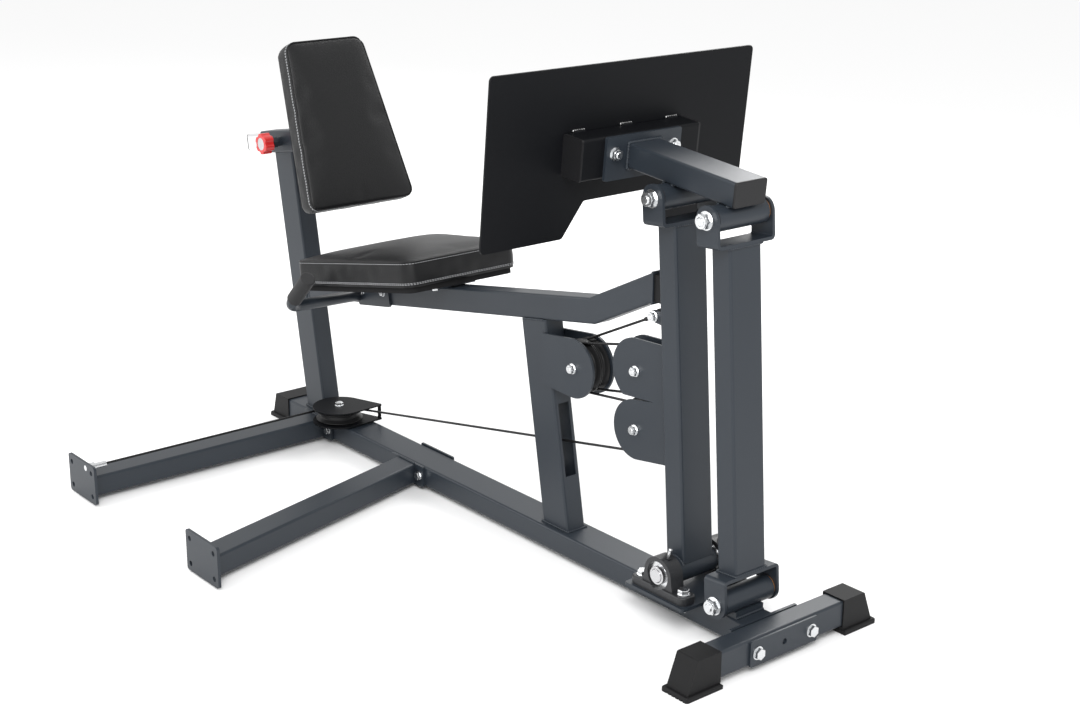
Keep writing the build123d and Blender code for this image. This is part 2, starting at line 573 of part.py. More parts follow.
def build_pads():
    length = math.hypot(*PAD_RUN)
    frame = pad_frame()
    upward = Rot(0, -90, 0)
    outline = trapezoid(0, PAD_LOW_HALF, length, PAD_TOP_HALF, 20)
    foam = upward * extrude(outline, PAD_FOAM)
    foam = fillet(foam.faces().sort_by(Axis.X)[-1].edges(), 7)
    keep("back_cushion", frame * foam)
    rear = trapezoid(5, PAD_LOW_HALF - 6, length - 5, PAD_TOP_HALF - 6, 16)
    board = Pos(-PAD_FOAM, 0, 0) * upward * extrude(rear, BOARD)
    back = -PAD_FOAM - BOARD
    bracket = block(back - 8, back, -50, 50, 75, 235)
    bracket = fillet(bracket.edges().filter_by(Axis.X), 6)
    for y in (-32, 32):
        for z in (95, 215):
            where = frame * Pos(back - 8, y, z) * Rot(0, 90, 0)
            keep("back_pad_screws", *place(where, bolt(4, 0, tail=16)))
            hole = rod_x(4, back - 9, back + 8, y, z)
            bracket, board = bracket - hole, board - hole
    keep("back_board", frame * board)
    keep("back_pad_bracket", frame * bracket)
    sleeve_frame = seat_line(SLEEVE_X)
    neck = tube_x(38, 38, slider_reach(), slider_reach() + 60, 0, 0)
    neck = sleeve_frame * neck - frame * block(back - 8, 200, -200, 200, -300, 600)
    keep("back_pad_bracket", neck)

    slope = math.cos(math.radians(SEAT_TILT))
    origin = seat_frame(SEAT_REAR, SEAT_LIFT)
    depth = (SEAT_FRONT - SEAT_REAR) / slope
    outline = trapezoid(0, SEAT_REAR_HALF, depth, SEAT_FRONT_HALF, 22)
    foam = extrude(outline, SEAT_FOAM)
    foam = fillet(foam.faces().sort_by(Axis.Z)[-1].edges(), 12)
    keep("seat_cushion", origin * Pos(0, 0, BOARD) * foam)
    board = extrude(trapezoid(7, SEAT_REAR_HALF - 7, depth - 7, SEAT_FRONT_HALF - 7, 18), BOARD)
    plate = block(40, depth - 30, -46, 46, -SEAT_LIFT, 0)
    for x in (70, depth - 60):
        for y in (-34, 34):
            hole = rod_z(4, -SEAT_LIFT - 1, 8, x, y)
            plate, board = plate - hole, board - hole
            keep("frame_screws", *place(origin * Pos(x, y, -SEAT_LIFT), bolt(4, 0, tail=14)))
    keep("seat_board", origin * board)
    keep("seat_plate", origin * plate)


def build_handles():
    half = SMALL_W / 2
    for side, label in ((-1, "left"), (1, "right")):
        frame = seat_frame(-1205)
        y0, y1 = sorted((side * half, side * (half + 5)))
        bracket = block(-60, 60, y0, y1, -53, -8)
        bracket = fillet(bracket.edges().filter_by(Axis.Y), 5)
        for x in (-40, 40):
            where = frame * along_y(x, side * (half + 5), -22, -side)
            keep("frame_screws", *place(where, bolt(4, 0, tail=5)))
            bracket -= rod_y(4, y0 - 1, y1 + 1, x, -22)
        keep("handle_bars", frame * bracket)
        root = Vector(-1258, side * (half + 5), 378)
        elbow = Vector(-1209, side * 232, 400)
        tip = Vector(-1134, side * 232, 475)
        path = FilletPolyline(root, elbow, tip, radius=30)
        section = Plane(origin=path @ 0, z_dir=path % 0)
        ring = section * (Circle(12.5) - Circle(10.3))
        bar = sweep(ring, path=path)
        inward = sorted((side * (half + 5), -side * 300))
        cut = frame * block(-200, 200, *inward, -200, 200)
        keep("handle_bars", bar - cut)
        grip_dir = (tip - elbow).normalized()
        base = tip - grip_dir * 78
        grip_frame = Plane(origin=base, z_dir=grip_dir)
        grip = grip_frame * (rod_z(16, 0, 83) - rod_z(12.5, -1, 79))
        grip = fillet(grip.edges().filter_by(GeomType.CIRCLE).filter_by(
            lambda e: e.radius > 15), 3)
        keep("hand_grips", grip)


# ---- pulleys and cable ---------------------------------------------------------------------
def pulley():
    """Grooved wheel about Y."""
    half, root = PULLEY_W / 2, GROOVE_R - CABLE_R - 0.4
    rim = [(5 + RUNNING, -half), (14, -half), (14, -half + 3), (38, -half + 3),
           (38, -half), (PULLEY_R, -half), (PULLEY_R, -half + 1.4), (root + 1.2, -4.3),
           (root, -3.1), (root, 3.1), (root + 1.2, 4.3), (PULLEY_R, half - 1.4),
           (PULLEY_R, half), (38, half), (38, half - 3), (14, half - 3), (14, half),
           (5 + RUNNING, half)]
    face = make_face(Plane.XY * Polyline(*rim, close=True))
    return revolve(face, Axis.Y)


def pulley_pin(y0, y1):
    """Bolt along Y through guards between y0 and y1, its nut on the -Y side."""
    return place(along_y(0, y1, 0, -1), bolt(5, y1 - y0))


def spacer(y0, y1, bore=5.0):
    return rod_y(9, y0, y1) - rod_y(bore, y0 - 1, y1 + 1)


def build_front_block():
    x, z = FRONT_BLOCK
    spot = Pos(x, 0, z)
    inner, plate = SMALL_W / 2, 5.0
    strut_x = STRUT_X - math.tan(math.radians(SEAT_TILT)) * (z - RAIL_TOP)
    for side in (-1, 1):
        y0, y1 = sorted((side * inner, side * (inner + plate)))
        guard = hull_y([(0, 0, 58), (strut_x - x + 22, 44, 4), (strut_x - x + 22, -50, 4)],
                       y0, y1)
        keep("front_pulley_guards", spot * (guard - rod_y(5, y0 - 1, y1 + 1)))
    keep("frame_bolts", *place(spot, pulley_pin(-inner - plate, inner + plate)))
    half = PULLEY_W / 2
    keep("frame_bolts", spot * spacer(half + FRONT_SPREAD + 0.1, inner),
         spot * spacer(-inner, -half - FRONT_SPREAD - 0.1),
         spot * spacer(half - FRONT_SPREAD + 0.1, FRONT_SPREAD - half - 0.1))
    keep("front_pulley_far", spot * Pos(0, FRONT_SPREAD, 0) * pulley())
    keep("front_pulley_near", spot * Pos(0, -FRONT_SPREAD, 0) * pulley())


def build_arm_pulleys():
    face_x = -MAIN_H / 2
    half, plate = PULLEY_W / 2 + 1.5, 4.0
    share = 294.0
    for centre, label, reach, low, high in ((ARM_UPPER, "upper", 62, share, 400),
                                            (ARM_LOWER, "lower", 57, 186, share)):
        x, z = on_arm(*centre)
        spot = arm_frame * Pos(x, 0, z)
        for side in (-1, 1):
            y0, y1 = sorted((side * half, side * (half + plate)))
            guard = hull_y([(x, z, reach), (face_x - 4, high, 4), (face_x - 4, low, 4)], y0, y1)
            guard += slab_y([(face_x - 8, low - 4), (face_x, low - 4), (face_x, high + 4),
                             (face_x - 8, high + 4)], y0, y1)
            cut_low, cut_high = (share, 500) if label == "upper" else (0, share)
            guard &= block(-300, face_x, -60, 60, cut_low, cut_high)
            guard -= rod_y(5, y0 - 1, y1 + 1, x, z)
            keep("arm_brackets", arm_frame * guard)
        keep("arm_bolts", *place(spot, pulley_pin(-half - plate, half + plate)))
        keep("arm_bolts", spot * spacer(PULLEY_W / 2 + 0.1, half),
             spot * spacer(-half, -PULLEY_W / 2 - 0.1))
        keep(f"arm_{label}_pulley", spot * pulley())
    x, z = on_arm(*ANCHOR)
    spot = arm_frame * Pos(x, 0, z)
    for side in (-1, 1):
        y0, y1 = sorted((side * 5, side * 9))
        ear = hull_y([(x, z, 11), (face_x - 3, z - 4, 14)], y0, y1)
        ear &= block(-200, face_x, -12, 12, 0, 900)
        keep("arm_brackets", arm_frame * (ear - rod_y(5, y0 - 1, y1 + 1, x, z)))
    keep("arm_bolts", *place(spot, pulley_pin(-9, 9)))
    front = (*FRONT_BLOCK, GROOVE_R)
    start, finish = tangent((*ANCHOR, 0.0), front, -1, 1)
    way = Vector(finish[0] - start[0], 0, finish[1] - start[1]).normalized()
    ferrule = Plane(origin=Vector(start[0], 0, start[1]), z_dir=way)
    eye = Pos(ANCHOR[0], 0, ANCHOR[1]) * rod_y(10, -4.5, 4.5) + ferrule * rod_z(4, 0, EYE_REACH)
    keep("cable_arm_wraps", eye - Pos(ANCHOR[0], 0, ANCHOR[1]) * rod_y(5, -6, 6))


def build_rear_pulley():
    x, y, z = REAR_BOLT
    half = PULLEY_W / 2 + 5
    spot = Pos(x, y, z)
    outline = make_hull((Sketch() + [Circle(60), Pos(50, 76) * Circle(5)]).edges())
    top = Pos(0, 0, half) * extrude(outline, 3) - rod_z(5, 0, 30)
    bottom = Pos(0, 0, -half - 3) * extrude(outline, 3) - rod_z(5, -30, 0)
    post = rod_z(4, -half, half, 50, 76)
    keep("rear_pulley_bracket", spot * top, spot * bottom)
    keep("rear_pulley_bracket", spot * post)
    foot = block(x - 30, x + 40, -34, 24, RAIL_TOP, z - half - 3) - rod_z(5, 0, 100, x, y)
    keep("rear_pulley_bracket", foot)
    keep("rear_pulley", spot * Rot(90, 0, 0) * pulley())
    pin = place(Pos(x, y, z + half + 3) * Rot(180, 0, 0),
                bolt(5, 0, tail=z + half + 3 - RAIL_TOP))
    keep("frame_bolts", *pin)
    keep("frame_bolts", spot * (rod_z(9, PULLEY_W / 2 + 0.1, half) - rod_z(5, -40, 40)),
         spot * (rod_z(9, -half, -PULLEY_W / 2 - 0.1) - rod_z(5, -40, 40)))


def tangent(circle_a, circle_b, side_a, side_b):
    """Touch points of the line between two circles (x, z, r).

    A side is +1 where the line passes above that circle's centre and -1 where it passes
    below."""
    (xa, za, ra), (xb, zb, rb) = circle_a, circle_b
    dx, dz = xb - xa, zb - za
    turn = math.asin((side_b * rb - side_a * ra) / math.hypot(dx, dz))
    angle = math.atan2(dz, dx) + (turn if dx > 0 else -turn)
    normal = (-math.sin(angle), math.cos(angle))
    if normal[1] < 0:
        normal = (-normal[0], -normal[1])
    return ((xa + side_a * ra * normal[0], za + side_a * ra * normal[1]),
            (xb + side_b * rb * normal[0], zb + side_b * rb * normal[1]))


def straight_cable(start, end, trim=0.4):
    start, end = Vector(*start), Vector(*end)
    way = (end - start).normalized()
    first, last = start + way * trim, end - way * trim
    section = Plane(origin=first, z_dir=way) * Circle(CABLE_R)
    return extrude(section, (last - first).length, dir=way)


def wrap_cable(centre, touch_in, touch_out, y, through):
    """Cable round a pulley from one touch point to another, by way of the -X or +X side."""
    start, end = Vector(touch_in[0], y, touch_in[1]), Vector(touch_out[0], y, touch_out[1])
    middle = Vector(centre[0] + through * GROOVE_R, y, centre[1])
    arc = ThreePointArc(start, middle, end)
    return sweep(Plane(origin=arc @ 0, z_dir=arc % 0) * Circle(CABLE_R), path=arc)


def build_cable():
    front = (*FRONT_BLOCK, GROOVE_R)
    upper = (*ARM_UPPER, GROOVE_R)
    lower = (*ARM_LOWER, GROOVE_R)
    anchor = (*ANCHOR, 0.0)
    x, y, z = REAR_BOLT
    rear = (x, z, 0.0)
    far, near = FRONT_SPREAD, -FRONT_SPREAD
    a0, a1 = tangent(anchor, front, -1, 1)
    way = Vector(a1[0] - a0[0], 0, a1[1] - a0[1]).normalized() * EYE_REACH
    a0 = (a0[0] + way.X, a0[1] + way.Z)
    b0, b1 = tangent(front, upper, -1, -1)
    c0, c1 = tangent(upper, front, 1, 1)
    d0, d1 = tangent(front, lower, -1, 1)
    e0, e1 = tangent(lower, rear, -1, 1)
    runs = [((a0[0], 0, a0[1]), (a1[0], far, a1[1])), ((b0[0], far, b0[1]), (b1[0], 0, b1[1])),
            ((c0[0], 0, c0[1]), (c1[0], near, c1[1])), ((d0[0], near, d0[1]), (d1[0], 0, d1[1])),
            ((e0[0], 0, e0[1]), (e1[0] + 0.6, y + GROOVE_R, e1[1]))]
    keep("cable_runs", *(straight_cable(*run) for run in runs))
    keep("cable_frame_run", wrap_cable(FRONT_BLOCK, a1, b0, far, -1),
         wrap_cable(FRONT_BLOCK, c1, d0, near, -1))
    keep("cable_arm_wraps", wrap_cable(ARM_UPPER, b1, c0, 0, 1),
         wrap_cable(ARM_LOWER, d1, e0, 0, 1))
    start, turn = Vector(x, y + GROOVE_R, z), Vector(x - GROOVE_R, y, z)
    arc = ThreePointArc(start, Vector(x - GROOVE_R * math.cos(math.pi / 4),
                                      y + GROOVE_R * math.sin(math.pi / 4), z), turn)
    tail = Line(turn, Vector(turn.X, SIDE_END + 30, z))
    section = Plane(origin=start, z_dir=Vector(-1, 0, 0)) * Circle(CABLE_R)
    keep("cable_frame_run", sweep(section, path=Wire([arc, tail])))
    fitting = rod_y(6, SIDE_END - END_PLATE, SIDE_END + 40, turn.X, z)
    fitting += rod_y(9, SIDE_END, SIDE_END + 14, turn.X, z)
    keep("cable_end_fitting", fitting - rod_y(CABLE_R, SIDE_END + 30, SIDE_END + 41, turn.X, z))


build_base()
build_side_tubes()
build_bearings()
build_arms()
build_top()
build_seat_frame()
build_slider()
build_pads()
build_handles()
build_front_block()
build_arm_pulleys()
build_rear_pulley()
build_cable()

boxes = [shape.bounding_box() for shapes in nodes.values() for shape in shapes]
low = Vector(*(min(getattr(box.min, axis) for box in boxes) for axis in "XYZ"))
high = Vector(*(max(getattr(box.max, axis) for box in boxes) for axis in "XYZ"))
centre = Vector((low.X + high.X) / 2, (low.Y + high.Y) / 2, low.Z)
print("the drawing's origin is at", Vector() - centre, "size", high - low, "nodes", len(nodes))
for name, shapes in nodes.items():
    moved = [solid.translate(Vector() - centre) for shape in shapes for solid in shape.solids()]
    export_step(Compound(moved), f"parts/{name}.step")
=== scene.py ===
import json
import math

import bmesh
import bpy
from mathutils import Matrix, Vector


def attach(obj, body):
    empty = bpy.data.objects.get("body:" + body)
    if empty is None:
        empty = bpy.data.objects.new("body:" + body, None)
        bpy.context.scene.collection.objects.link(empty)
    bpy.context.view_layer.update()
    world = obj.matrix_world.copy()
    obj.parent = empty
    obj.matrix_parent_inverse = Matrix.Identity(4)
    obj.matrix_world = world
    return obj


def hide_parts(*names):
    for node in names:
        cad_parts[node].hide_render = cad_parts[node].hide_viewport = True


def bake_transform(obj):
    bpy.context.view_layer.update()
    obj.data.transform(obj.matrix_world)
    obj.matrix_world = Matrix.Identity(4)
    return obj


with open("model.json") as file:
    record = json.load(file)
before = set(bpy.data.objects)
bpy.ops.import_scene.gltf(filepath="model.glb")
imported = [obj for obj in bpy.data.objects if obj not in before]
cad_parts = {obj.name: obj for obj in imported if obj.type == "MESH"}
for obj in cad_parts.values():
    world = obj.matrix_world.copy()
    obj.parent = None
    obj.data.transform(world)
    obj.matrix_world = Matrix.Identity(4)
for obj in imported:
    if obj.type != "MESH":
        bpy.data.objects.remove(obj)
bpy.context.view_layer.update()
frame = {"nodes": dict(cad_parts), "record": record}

# Leg press station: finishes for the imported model, and the pieces it lacks, which are weld
# beads, upholstered pads with their stitching, and the straight runs of the cable.  Places
# are given in the drawing's millimetres, with X along the base rail, Y across it and Z up,
# and at() takes them to the row frame in metres.  Radii of beads and seams are in metres.

nodes = frame["nodes"]
ORIGIN = Vector((0.855642, 0.159, 0.0))      # the drawing's origin in the row frame, metres

# ---- sizes of the drawing, millimetres -----------------------------------------------------
ARM_FOOT = (-233.0, 98.5)       # main arm's shaft, x and z
ARM_RUN = (-52.5, 678.0)        # from the arm's lower pivot to its upper one
PIVOT_GAP = (132.0, -13.0)      # from a pivot of the arm to the same pivot of the rear link
PIVOT_SPAN = 132.6              # the same step, measured along the top beam
CLEVIS_SEAM = 50.0              # from a pivot to the weld of its clevis
TUBE_BEAD = (23.0, 38.0)        # half sizes of a bead round a 45 x 75 tube
ARM_HALF_X, ARM_HALF_Y = 22.5, 37.5
SHAFT_TUBE_R = 25.0
RAIL_BEAD = 57.0                # height of the beads on the rail's top face

SEAT_TILT = 10.0                # upright, strut and seat beam lean, degrees
BEAM_TOP_X, BEAM_TOP_Z = -749.0, 500.0       # a point on the seat beam's top face
UPRIGHT_X, STRUT_X = -1455.0, -587.0
REAR_TUBE_X, FRONT_TUBE_X = -1418.0, -1062.0

SEAT_REAR = -1240.0
SEAT_LENGTH = 338.0             # measured level
SEAT_HALVES = (187.0, 136.0)    # half widths, rear and front
SEAT_LIFT = 0.018               # the cushion's underside above the seat beam, metres
BACK_LOW = (-1264.0, 580.0)     # lower edge of the back pad's front face
BACK_RUN = (-143.0, 336.0)      # from there to its upper edge
BACK_HALVES = (132.0, 96.0)     # half widths, below and above
BACK_FOAM = 42.0
PAD_CORNER = 22.0               # corner radius of both pads

GROOVE = 46.0                   # from a pulley's bolt to the middle of the cable
FRONT_SPREAD = 11.0             # the front pulleys sit this far each side of the middle
CABLE_RADIUS = 0.0025           # metres


def at(x, y, z):
    """A point of the drawing, in millimetres, in the row frame."""
    return ORIGIN + Vector((x, y, z)) / 1000


# ---- materials -----------------------------------------------------------------------------
def texture(mat, kind, **values):
    """A texture node in object coordinates with the given input values."""
    tree = mat.node_tree
    coords = tree.nodes.get("Texture Coordinate") or tree.nodes.new("ShaderNodeTexCoord")
    made = tree.nodes.new("ShaderNodeTex" + kind)
    for key, value in values.items():
        made.inputs[key].default_value = value
    tree.links.new(coords.outputs["Object"], made.inputs["Vector"])
    return made


def add_bump(mat, height, depth, invert=False):
    """Raise a material's surface by an output's value times depth, in metres."""
    tree = mat.node_tree
    bump = tree.nodes.new("ShaderNodeBump")
    bump.inputs["Strength"].default_value = 1.0
    bump.inputs["Distance"].default_value = depth
    bump.invert = invert
    tree.links.new(height, bump.inputs["Height"])
    tree.links.new(bump.outputs["Normal"], tree.nodes["Principled BSDF"].inputs["Normal"])


def material(name, colour, rough, metal=0.0, grain=0.0, grain_size=400.0, coat=0.0, tint=0.0,
             shine=0.5):
    """A principled material; grain is the bump's height in metres, tint a colour mottle."""
    mat = bpy.data.materials.new(name)
    mat.use_nodes = True
    tree = mat.node_tree
    shader = tree.nodes["Principled BSDF"]
    shader.inputs["Base Color"].default_value = (*colour, 1)
    shader.inputs["Roughness"].default_value = rough
    shader.inputs["Metallic"].default_value = metal
    shader.inputs["Coat Weight"].default_value = coat
    shader.inputs["Specular IOR Level"].default_value = shine
    mat.diffuse_color = (*colour, 1)
    if grain:
        noise = texture(mat, "Noise", Scale=grain_size, Detail=3)
        add_bump(mat, noise.outputs["Fac"], grain)
    if tint:
        mottle = tree.nodes.new("ShaderNodeMix")
        mottle.data_type = "RGBA"
        mottle.inputs["A"].default_value = (*[c * (1 - tint) for c in colour], 1)
        mottle.inputs["B"].default_value = (*[c * (1 + tint) for c in colour], 1)
        wide = texture(mat, "Noise", Scale=6)
        tree.links.new(wide.outputs["Fac"], mottle.inputs["Factor"])
        tree.links.new(mottle.outputs["Result"], shader.inputs["Base Color"])
    return mat


def vinyl_material():
    """Upholstery vinyl: small cells between fine creases."""
    mat = material("vinyl", (0.006, 0.0062, 0.0068), 0.42, shine=0.26)
    tree = mat.node_tree
    cells = texture(mat, "Voronoi", Scale=700)
    fine = texture(mat, "Noise", Scale=260)
    add = tree.nodes.new("ShaderNodeMath")
    tree.links.new(cells.outputs["Distance"], add.inputs[0])
    tree.links.new(fine.outputs["Fac"], add.inputs[1])
    add_bump(mat, add.outputs["Value"], 0.00022)
    return mat


def tread_material():
    """Rubber mat with rows of small raised studs."""
    mat = material("tread rubber", (0.01, 0.01, 0.0105), 0.7, shine=0.25)
    studs = texture(mat, "Voronoi", Scale=110, Randomness=0.0)
    add_bump(mat, studs.outputs["Distance"], 0.0012, invert=True)
    return mat


MATS = {
    "frame_paint": material("charcoal powder coat", (0.019, 0.0245, 0.032), 0.4,
                            grain=0.00006, grain_size=900, tint=0.06, shine=0.34),
    "black_paint": material("black powder coat", (0.004, 0.0044, 0.0055), 0.5,
                            grain=0.00008, grain_size=900, tint=0.06, shine=0.12),
    "cast_black": material("painted casting", (0.014, 0.015, 0.017), 0.45,
                           grain=0.0004, grain_size=320),
    "zinc": material("bright zinc", (0.66, 0.67, 0.68), 0.26, 1.0, grain=0.00003, grain_size=500),
    "steel": material("ground steel", (0.55, 0.55, 0.56), 0.24, 1.0),
    "chrome": material("chrome", (0.82, 0.82, 0.83), 0.06, 1.0),
    "bushing": material("oiled bronze", (0.62, 0.27, 0.07), 0.36, 0.7),
    "rubber": material("moulded rubber", (0.006, 0.006, 0.0065), 0.6,
                       grain=0.0001, grain_size=600, shine=0.22),
    "grip": material("grip rubber", (0.016, 0.016, 0.017), 0.6, grain=0.0002, grain_size=500,
                     shine=0.3),
    "nylon": material("pulley nylon", (0.007, 0.007, 0.0075), 0.4, grain=0.00005, grain_size=300,
                      shine=0.35),
    "cap": material("moulded plastic", (0.009, 0.009, 0.01), 0.5, grain=0.00006,
                    grain_size=500, shine=0.3),
    "red_knob": material("red plastic", (0.55, 0.02, 0.02), 0.3, coat=0.3),
    "pin_steel": material("bright steel", (0.6, 0.6, 0.61), 0.22, 1.0),
    "vinyl": vinyl_material(),
    "board": material("wrapped board", (0.008, 0.008, 0.0085), 0.8, grain=0.0002,
                      grain_size=700, shine=0.2),
    "cable": material("cable jacket", (0.006, 0.006, 0.0065), 0.4, shine=0.3),
}
thread_mat = material("light thread", (0.3, 0.305, 0.315), 0.6)
bare_weld_mat = material("plate weld", (0.5, 0.5, 0.5), 0.35, 1.0, grain=0.0003, grain_size=400)
tread_mat = tread_material()

slots = {item["node"]: item["material_slot"] for item in frame["record"]["subparts"]}
for name, obj in nodes.items():
    obj.data.materials.clear()
    obj.data.materials.append(tread_mat if name == "footplate_tread_mat"
                              else MATS[slots[name]])


# ---- mesh builders -------------------------------------------------------------------------
def add_mesh(name, verts, faces, mat, smooth=True):
    name = name.replace(" ", "_")
    mesh = bpy.data.meshes.new(name)
    mesh.from_pydata([tuple(v) for v in verts], [], faces)
    mesh.update()
    obj = bpy.data.objects.new(name, mesh)
    bpy.context.scene.collection.objects.link(obj)
    mesh.materials.append(mat)
    if smooth:
        mesh.polygons.foreach_set("use_smooth", [True] * len(mesh.polygons))
    return obj


def circle(centre, side, up, radius, sides):
    """The points of a circle in the plane of side and up."""
    turns = [2 * math.pi * k / sides for k in range(sides)]
    return [centre + (side * math.cos(turn) + up * math.sin(turn)) * radius for turn in turns]


def skin(rings, sides, closed=False):
    """The faces between a tube's circles; closed joins the last circle to the first."""
    faces = []
    for i in range(rings if closed else rings - 1):
        here, there = i * sides, (i + 1) % rings * sides
        for k in range(sides):
            nxt = (k + 1) % sides
            faces.append((here + k, here + nxt, there + nxt, there + k))
    return faces


# ---- weld beads ----------------------------------------------------------------------------
BEAD_STEP = 0.0012
BEAD_SIDES = 8


def bead(name, body, path, radius=0.0028, closed=False, mat=None):
    """A weld bead along a polyline of the row frame, rippled along its length."""
    points = [Vector(p) for p in path]
    if closed:
        points.append(points[0])
    line = []
    for a, b in zip(points, points[1:]):
        count = max(2, int((b - a).length / BEAD_STEP))
        line += [a.lerp(b, i / count) for i in range(count)]
    line.append(points[-1])
    last = len(line) - 1
    verts = []
    for i, p in enumerate(line):
        way = (line[min(i + 1, last)] - line[max(i - 1, 0)]).normalized()
        side = way.orthogonal().normalized()
        if abs(way.z) < 0.9:
            side = way.cross(Vector((0, 0, 1))).normalized()
        size = radius * (0.9 + 0.14 * math.sin(i * 1.55) + 0.06 * math.sin(i * 0.37))
        if i in (0, last) and not closed:
            size *= 0.4
        verts += circle(p, side, way.cross(side), size, BEAD_SIDES)
    faces = skin(len(line), BEAD_SIDES)
    faces += [tuple(range(BEAD_SIDES))[::-1], tuple(range(len(verts) - BEAD_SIDES, len(verts)))]
    obj = add_mesh(name, verts, faces, mat or MATS["frame_paint"])
    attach(obj, body)


def leaning(origin, degrees):
    """A function from a leaning frame's x, y, z (mm) to the row frame."""
    turn = Matrix.Rotation(math.radians(degrees), 3, "Y")
    base = at(*origin)
    return lambda x, y, z: base + turn @ Vector((x, y, z)) / 1000


def ring(place, half_x, half_y, z):
    """The corners of a rectangle round a tube."""
    return [place(-half_x, -half_y, z), place(half_x, -half_y, z),
            place(half_x, half_y, z), place(-half_x, half_y, z)]


def across(place, x, half, z, middle=0):
    """Both ends of a straight seam along Y."""
    return [place(x, middle - half, z), place(x, middle + half, z)]


def saddle(side):
    """The seam between a flat side of the main arm and its round shaft tube."""
    points = []
    for step in range(-6, 7):
        share = math.sin(step * math.pi / 12)
        rise = SHAFT_TUBE_R * math.cos(math.asin(ARM_HALF_X / SHAFT_TUBE_R * share))
        points.append(arm(ARM_HALF_X * share, side * ARM_HALF_Y, rise + 0.5))
    return points


def under_seat(x, y, drop):
    """A point at a height below the line of the seat beam's top face."""
    return at(x, y, BEAM_TOP_Z + SEAT_SLOPE * (x - BEAM_TOP_X) - drop)


ARM_LEAN = math.degrees(math.atan2(*ARM_RUN))
ARM_LENGTH = math.hypot(*ARM_RUN)
BEAM_ANGLE = math.degrees(math.atan2(-PIVOT_GAP[1], PIVOT_GAP[0]))
SEAT_SLOPE = math.tan(math.radians(SEAT_TILT))
SEAT_COSINE = math.cos(math.radians(SEAT_TILT))
LINK_FOOT = (ARM_FOOT[0] + PIVOT_GAP[0], ARM_FOOT[1] + PIVOT_GAP[1])
arm = leaning((ARM_FOOT[0], 0, ARM_FOOT[1]), ARM_LEAN)
link = leaning((LINK_FOOT[0], 0, LINK_FOOT[1]), ARM_LEAN)
top = leaning((ARM_FOOT[0] + ARM_RUN[0], 0, ARM_FOOT[1] + ARM_RUN[1]), BEAM_ANGLE)

for name, body, place, height in (
        ("arm clevis weld", "press_arm", arm, ARM_LENGTH - CLEVIS_SEAM),
        ("link head weld", "rear_link", link, ARM_LENGTH - CLEVIS_SEAM),
        ("link foot weld", "rear_link", link, CLEVIS_SEAM)):
    bead(name, body, ring(place, *TUBE_BEAD, height), closed=True)
for side in (-1, 1):
    bead(f"arm foot weld {side}", "press_arm", saddle(side))
    bead(f"link saddle weld {side}", "frame",
         across(at, LINK_FOOT[0] + side * 21, 34, RAIL_BEAD + 0.5))
bead("beam plate weld", "footplate_carriage",
     [top(-101, -38.5, 22), top(-101, 38.5, 22), top(-101, 38.5, 68), top(-101, -38.5, 68)],
     radius=0.0036, closed=True)
for pivot in (0.0, PIVOT_SPAN):
    for side in (-1, 1):
        bead(f"pivot weld {pivot:.0f} {side}", "footplate_carriage",
             across(top, pivot + side * 10, 37, 21.5))
for label, x in (("upright", UPRIGHT_X), ("strut", STRUT_X)):
    bead(f"{label} foot weld", "frame",
         ring(lambda u, v, z: at(x + u, v, z), ARM_HALF_Y / SEAT_COSINE + 0.8, 23, RAIL_BEAD),
         closed=True)
for side in (-1, 1):
    bead(f"bearing plate weld {side}", "frame",
         across(at, ARM_FOOT[0] + side * 77, 37, RAIL_BEAD), radius=0.0032)
    bead(f"strut beam weld {side}", "frame",
         [under_seat(-690, side * 21.5, 51.5), under_seat(-628, side * 21.5, 51.5)])
    bead(f"bracket weld {side}", "frame",
         [under_seat(-1262, side * 23.5, 7), under_seat(-1150, side * 23.5, 7)], radius=0.0022)
bead("upright beam weld", "frame",
     [at(-1479, -22.5, 320), at(-1471, -22.5, 366), at(-1472, -22.5, 371)], radius=0.0026)
for label, x in (("rear", REAR_TUBE_X), ("front", FRONT_TUBE_X)):
    bead(f"{label} tube weld", "frame",
         [at(x - 31, -44.5, RAIL_BEAD), at(x + 31, -44.5, RAIL_BEAD)], radius=0.0026)
for y in (-108, 2, 112):
    bead(f"channel weld {y}", "footplate_carriage", across(top, -157, 14, 84.5, y),
         radius=0.003, mat=bare_weld_mat)

# ---- pads ----------------------------------------------------------------------------------
PANEL_CELLS = 44                # squares along and across a pad's panel
BAND_ROWS = 10                  # rows of squares down its side band
BAND_BULGE = 1.5                # how far the band stands out halfway down, millimetres
SEAM_HOLD = 0.9                 # how firmly the seam is held while the cover settles
CLOTH_STEPS = 26
COVER = {"quality": 5, "mass": 0.3, "tension_stiffness": 30, "compression_stiffness": 30,
         "shear_stiffness": 15, "bending_stiffness": 18, "pin_stiffness": 3,
         "shrink_min": -0.002, "use_pressure": True}


def puff(obj, seam, bottom, pressure):
    """Swell a closed pad by a cloth simulation and keep the settled mesh."""
    group = obj.vertex_groups.new(name="held")
    group.add(bottom, 1.0, "REPLACE")
    group.add(seam, SEAM_HOLD, "REPLACE")
    cloth = obj.modifiers.new("puff", "CLOTH")
    for key, value in COVER.items():
        setattr(cloth.settings, key, value)
    cloth.settings.vertex_group_mass = "held"
    cloth.settings.uniform_pressure_force = pressure
    cloth.settings.effector_weights.gravity = 0.0
    cloth.collision_settings.use_collision = False
    cloth.collision_settings.use_self_collision = False
    cloth.point_cache.frame_start = 1
    cloth.point_cache.frame_end = CLOTH_STEPS
    for step in range(1, CLOTH_STEPS + 1):
        bpy.context.scene.frame_set(step)
    graph = bpy.context.evaluated_depsgraph_get()
    settled = bpy.data.meshes.new_from_object(obj.evaluated_get(graph))
    obj.modifiers.clear()
    obj.vertex_groups.clear()
    obj.data = settled
    bpy.context.scene.frame_set(1)


